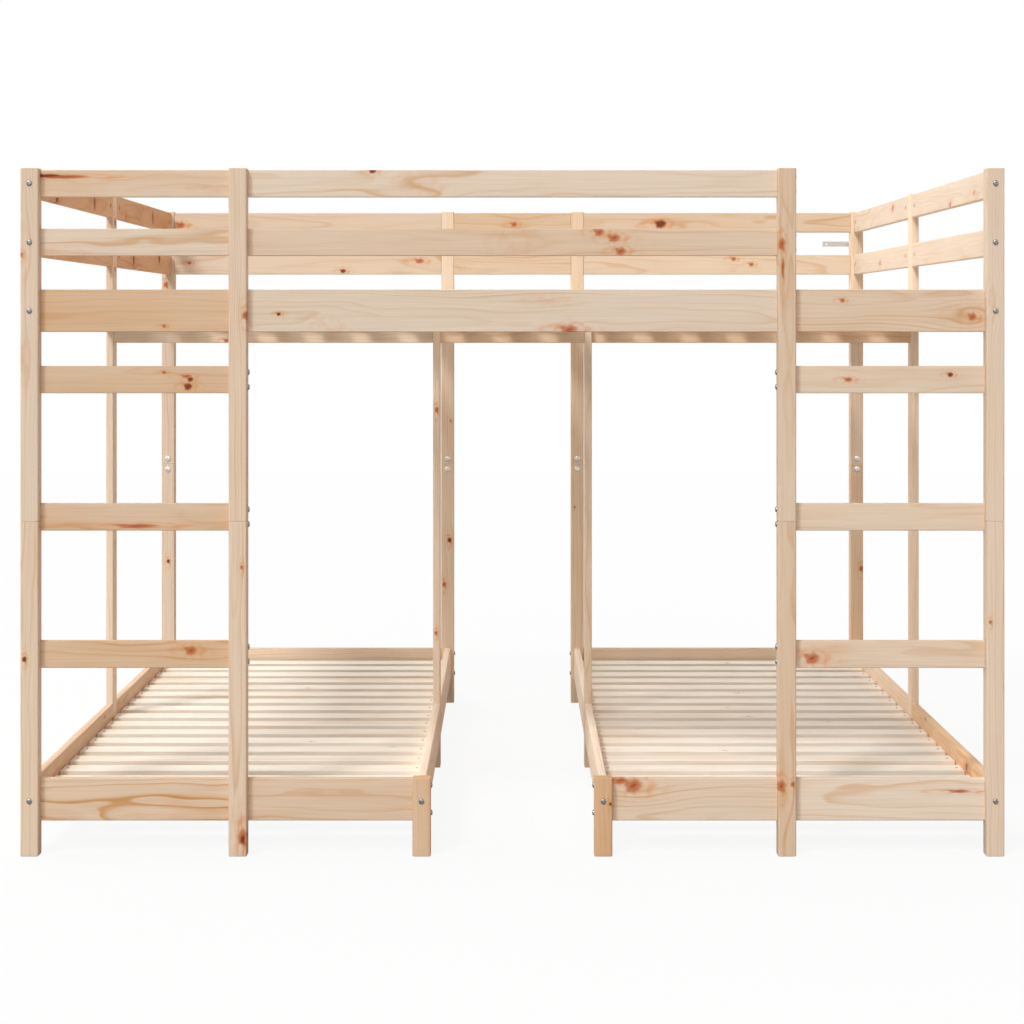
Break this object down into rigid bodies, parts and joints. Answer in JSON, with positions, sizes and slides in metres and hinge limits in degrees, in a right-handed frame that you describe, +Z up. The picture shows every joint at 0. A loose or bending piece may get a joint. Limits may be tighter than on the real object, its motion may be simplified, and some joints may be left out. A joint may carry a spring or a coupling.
{
  "type": "triple bunk bed",
  "caption": "Pine bunk bed for three: two low slatted single beds side by side under one wide upper bed, with built-in front ladders and guard rails all round",
  "frame": {"origin": "centre of the footprint on the floor", "axes": "+X to the right as seen from the front, +Y from the ladder front to the back, +Z up"},
  "size_m": [2.0624, 2.0824, 1.438],
  "materials": {
    "pine": "pale planed pine with knots and a thin matt lacquer",
    "pine_slats": "planed pine, untreated and a little paler than the frame",
    "beech": "turned beech dowel, untreated",
    "zinc_steel": "bright zinc-plated steel",
    "bracket_steel": "light grey coated steel strip"
  },
  "bodies": {
    "root": {"back_bed_boards": "pine", "back_guard_rails": "pine", "barrel_nuts": "zinc_steel", "centre_beam": "pine", "front_centre_bed_board": "pine", "front_centre_middle_rail": "pine", "front_centre_top_rail": "pine", "front_left_bed_board": "pine", "front_left_middle_rail": "pine", "front_left_top_rail": "pine", "front_right_bed_board": "pine", "left_back_inner_post_lower": "pine", "left_back_inner_post_upper": "pine", "left_back_post_lower": "pine", "left_back_post_upper": "pine", "left_front_post_lower": "pine", "left_front_post_upper": "pine", "left_inner_mid_post": "pine", "left_ladder_post_lower": "pine", "left_ladder_post_upper": "pine", "left_ladder_rungs": "pine", "left_low_bed_slats": "pine_slats", "left_low_front_boards": "pine", "left_low_side_boards": "pine", "left_mid_post_lower": "pine", "left_mid_post_upper": "pine", "left_short_leg": "pine", "left_side_bed_boards": "pine", "left_side_guard_rails": "pine", "low_back_boards": "pine", "low_bed_ledgers": "pine", "mid_post_dowels": "beech", "mid_post_tie_rods": "zinc_steel", "right_back_inner_post_lower": "pine", "right_back_inner_post_upper": "pine", "right_back_post_lower": "pine", "right_back_post_upper": "pine", "right_front_post_lower": "pine", "right_front_post_upper": "pine", "right_inner_mid_post": "pine", "right_ladder_post_lower": "pine", "right_ladder_post_upper": "pine", "right_ladder_rungs": "pine", "right_low_bed_slats": "pine_slats", "right_low_front_boards": "pine", "right_low_side_boards": "pine", "right_mid_post_lower": "pine", "right_mid_post_upper": "pine", "right_short_leg": "pine", "right_side_bed_boards": "pine", "right_side_guard_rails": "pine", "rung_screws": "zinc_steel", "seam_bolts": "zinc_steel", "seam_pins": "zinc_steel", "side_rail_bolts": "zinc_steel", "upper_bed_ledgers": "pine", "upper_bed_slats": "pine_slats", "wall_bracket": "bracket_steel", "wall_bracket_screw": "zinc_steel"}
  },
  "joints": []
}
